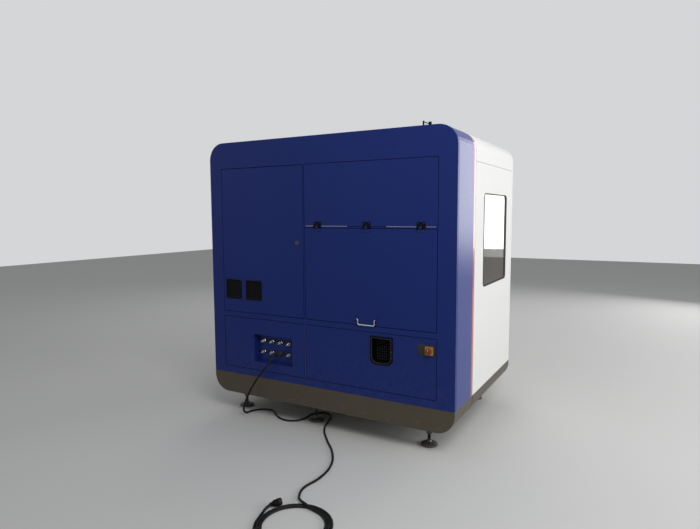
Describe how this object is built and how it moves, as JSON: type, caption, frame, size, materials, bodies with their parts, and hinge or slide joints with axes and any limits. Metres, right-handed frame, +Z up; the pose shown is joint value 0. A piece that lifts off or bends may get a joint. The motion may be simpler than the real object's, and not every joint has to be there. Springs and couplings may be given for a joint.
{
  "type": "fiber laser cutting machine",
  "caption": "Enclosed sheet-metal fiber laser cutter with a blue service face, a white cabinet with a side window, levelling feet and a coiled supply lead.",
  "frame": {"origin": "on the floor, at the middle of the cabinet's footprint", "axes": "+Z up; the blue service face looks along -Y, the operator's doors along +Y, and +X runs to the side with the window"},
  "size_m": [1.8, 2.4615, 1.9346],
  "materials": {
    "navy_paint": "satin",
    "white_paint": "satin",
    "grey_paint": "satin",
    "red_trim": "satin",
    "bed_paint": "satin",
    "black_plastic": "matte",
    "bright_metal": "polished",
    "machined_steel": "machined",
    "sheet_steel": "brushed",
    "aluminium_case": "satin",
    "red_plastic": "gloss",
    "green_plastic": "gloss",
    "window_glass": "gloss",
    "screen_glass": "gloss",
    "cable_rubber": "matte"
  },
  "bodies": {
    "cabinet": {"accent_stripe": "red_trim", "bulkhead": "grey_paint", "connection_panel": "navy_paint", "console_screen": "screen_glass", "coupling_row_lower": "bright_metal", "coupling_row_upper": "bright_metal", "electrical_panel": "aluminium_case", "exhaust_port": "black_plastic", "front_fascia": "white_paint", "hatch_hinge_1": "black_plastic", "hatch_hinge_2": "black_plastic", "hatch_hinge_3": "black_plastic", "lamp_socket": "black_plastic", "laser_source": "aluminium_case", "lead_coil": "cable_rubber", "lead_gland": "black_plastic", "lead_plug": "black_plastic", "left_side_panel": "white_paint", "levelling_foot_1": "black_plastic", "levelling_foot_2": "black_plastic", "levelling_foot_3": "black_plastic", "levelling_foot_4": "black_plastic", "levelling_foot_5": "black_plastic", "levelling_foot_6": "black_plastic", "linear_rail_left": "machined_steel", "linear_rail_right": "machined_steel", "lower_panel": "navy_paint", "machine_bed": "bed_paint", "main_plinth": "grey_paint", "operator_console": "grey_paint", "right_side_panel": "white_paint", "roof_cover": "white_paint", "service_face": "navy_paint", "service_plinth": "grey_paint", "service_wrap": "navy_paint", "side_window": "window_glass", "slat_table": "sheet_steel", "supply_lead": "cable_rubber", "switch_plate": "black_plastic", "upper_panel": "navy_paint"},
    "hatch": {"hatch": "navy_paint"},
    "hatch_handle": {"hatch_handle": "bright_metal"},
    "service_door": {"service_door": "navy_paint", "fan_grille_1": "black_plastic", "fan_grille_2": "black_plastic"},
    "door_lock": {"door_lock": "bright_metal"},
    "fan_rotor_1": {"fan_rotor_1": "black_plastic"},
    "fan_rotor_2": {"fan_rotor_2": "black_plastic"},
    "switch_knob": {"switch_knob": "red_plastic"},
    "front_door_left": {"front_door_left": "white_paint", "front_glass_left": "window_glass"},
    "front_door_right": {"front_door_right": "white_paint", "front_glass_right": "window_glass"},
    "e_stop_button": {"e_stop_button": "red_plastic"},
    "start_button": {"start_button": "green_plastic"},
    "stop_button": {"stop_button": "red_plastic"},
    "gantry": {"gantry_beam": "bed_paint"},
    "carriage": {"head_carriage": "white_paint"},
    "head": {"cutting_head": "aluminium_case"},
    "scrap_drawer": {"scrap_drawer": "grey_paint"}
  },
  "joints": [
    {"name": "hatch_swing", "type": "hinge", "parent": "cabinet", "child": "hatch", "pos_m": [0.34, -0.6473, 1.3315], "axis": [-1, 0, 0], "range_deg": [0, 85]},
    {"name": "handle_swing", "type": "hinge", "parent": "hatch", "child": "hatch_handle", "pos_m": [0.34, -0.65, 0.773], "axis": [-1, 0, 0], "range_deg": [0, 95]},
    {"name": "service_door_swing", "type": "hinge", "parent": "cabinet", "child": "service_door", "pos_m": [-0.788, -0.632, 0.893], "axis": [0, 0, -1], "range_deg": [0, 105]},
    {"name": "door_lock_turn", "type": "hinge", "parent": "service_door", "child": "door_lock", "pos_m": [-0.166, -0.64, 1.226], "axis": [0, -1, 0], "range_deg": [0, 90]},
    {"name": "fan_1_spin", "type": "hinge", "parent": "service_door", "child": "fan_rotor_1", "pos_m": [-0.707, -0.61, 0.893], "axis": [0, 1, 0], "continuous": true},
    {"name": "fan_2_spin", "type": "hinge", "parent": "service_door", "child": "fan_rotor_2", "pos_m": [-0.531, -0.61, 0.893], "axis": [0, 1, 0], "continuous": true},
    {"name": "switch_turn", "type": "hinge", "parent": "cabinet", "child": "switch_knob", "pos_m": [0.747, -0.6546, 0.629], "axis": [0, -1, 0], "range_deg": [0, 90]},
    {"name": "front_door_left_swing", "type": "hinge", "parent": "cabinet", "child": "front_door_left", "pos_m": [-0.778, 0.632, 1.22], "axis": [0, 0, 1], "range_deg": [0, 110]},
    {"name": "front_door_right_swing", "type": "hinge", "parent": "cabinet", "child": "front_door_right", "pos_m": [0.378, 0.632, 1.22], "axis": [0, 0, -1], "range_deg": [0, 110]},
    {"name": "e_stop_press", "type": "slide", "parent": "cabinet", "child": "e_stop_button", "axis": [0, -1, 0], "range_m": [0, 0.004], "stiffness_N_per_m": 500},
    {"name": "start_press", "type": "slide", "parent": "cabinet", "child": "start_button", "axis": [0, -1, 0], "range_m": [0, 0.003], "stiffness_N_per_m": 300},
    {"name": "stop_press", "type": "slide", "parent": "cabinet", "child": "stop_button", "axis": [0, -1, 0], "range_m": [0, 0.003], "stiffness_N_per_m": 300},
    {"name": "gantry_travel", "type": "slide", "parent": "cabinet", "child": "gantry", "axis": [0, 1, 0], "range_m": [-0.21, 0.39]},
    {"name": "carriage_travel", "type": "slide", "parent": "gantry", "child": "carriage", "axis": [1, 0, 0], "range_m": [-0.38, 0.38]},
    {"name": "head_travel", "type": "slide", "parent": "carriage", "child": "head", "axis": [0, 0, 1], "range_m": [-0.06, 0.03]},
    {"name": "drawer_slide", "type": "slide", "parent": "cabinet", "child": "scrap_drawer", "axis": [0, 1, 0], "range_m": [0, 0.5]}
  ]
}
